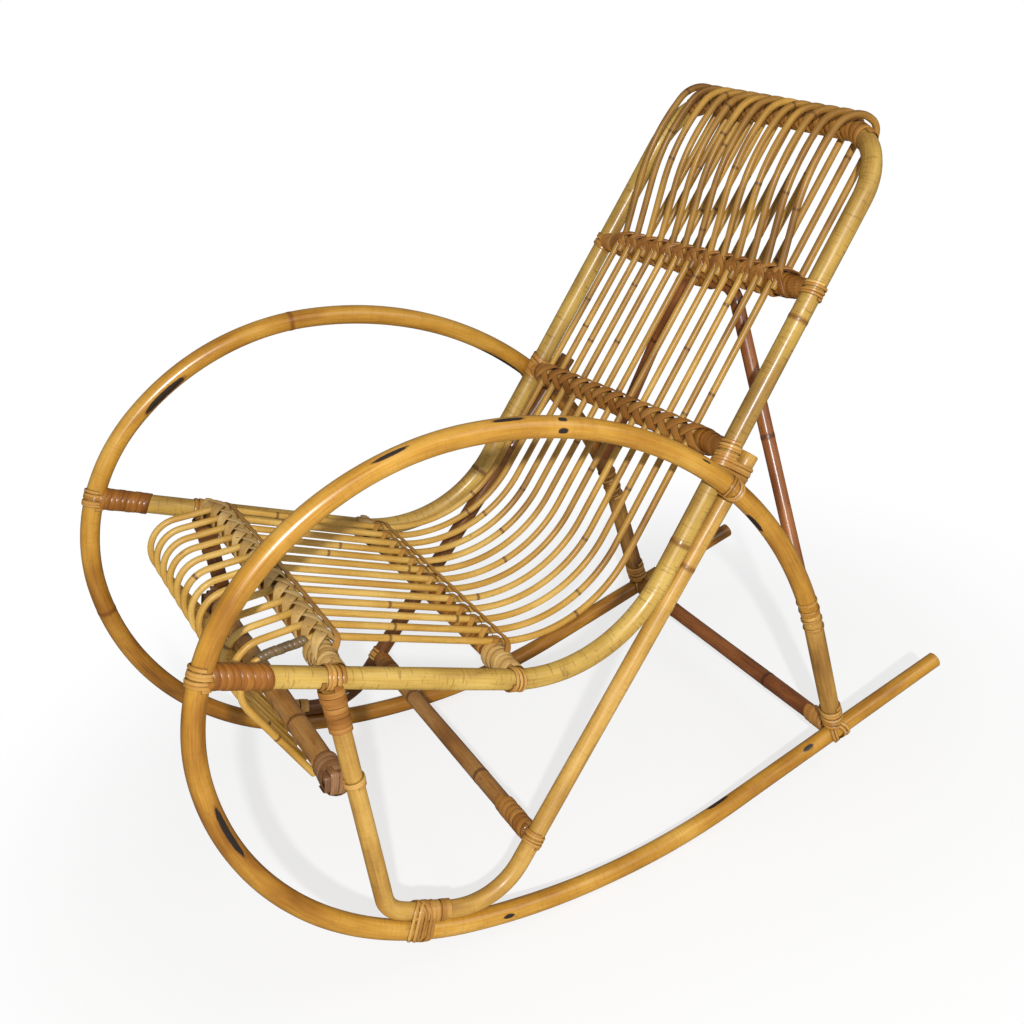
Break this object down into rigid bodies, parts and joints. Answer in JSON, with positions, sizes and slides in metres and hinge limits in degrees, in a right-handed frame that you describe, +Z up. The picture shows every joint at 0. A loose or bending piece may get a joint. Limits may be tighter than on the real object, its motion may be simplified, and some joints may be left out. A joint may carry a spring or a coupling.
{
  "type": "rattan rocking chair",
  "caption": "Rocking chair of bent rattan poles: side hoops that are rocker and arm in one, a seat and back of long bent reeds with a rolled front and a headrest, all joints lashed with peel.",
  "frame": {"origin": "on the floor under the middle of the chair's length and width", "axes": "+X the sitter's left, -Y the way the chair faces, +Z up"},
  "size_m": [0.5765, 1.0349, 0.8737],
  "materials": {
    "pole": "clear varnish",
    "reed": "clear varnish",
    "bar": "clear varnish",
    "brown_pole": "clear varnish",
    "peel_wrap": "satin"
  },
  "bodies": {
    "root": {"back_prop": "brown_pole", "front_bar_lashings": "peel_wrap", "front_crossbar": "bar", "front_lower_bar": "brown_pole", "head_reed_01": "reed", "head_reed_02": "reed", "head_reed_03": "reed", "head_reed_04": "reed", "head_reed_05": "reed", "head_reed_06": "reed", "head_reed_07": "reed", "head_reed_08": "reed", "head_reed_09": "reed", "head_reed_10": "reed", "head_reed_11": "reed", "head_reed_12": "reed", "head_reed_13": "reed", "left_brace_pole": "pole", "left_hoop_pole": "pole", "left_rear_post": "pole", "leg_top_lashings": "peel_wrap", "lower_back_crossbar": "bar", "mid_seat_crossbar": "bar", "middle_stretcher": "brown_pole", "rail_end_lashings": "peel_wrap", "rear_stretcher": "brown_pole", "right_brace_pole": "pole", "right_hoop_pole": "pole", "right_rear_post": "pole", "seat_back_frame": "pole", "seat_reed_01": "reed", "seat_reed_02": "reed", "seat_reed_03": "reed", "seat_reed_04": "reed", "seat_reed_05": "reed", "seat_reed_06": "reed", "seat_reed_07": "reed", "seat_reed_08": "reed", "seat_reed_09": "reed", "seat_reed_10": "reed", "seat_reed_11": "reed", "seat_reed_12": "reed", "seat_reed_13": "reed", "upper_back_crossbar": "bar"}
  },
  "joints": []
}
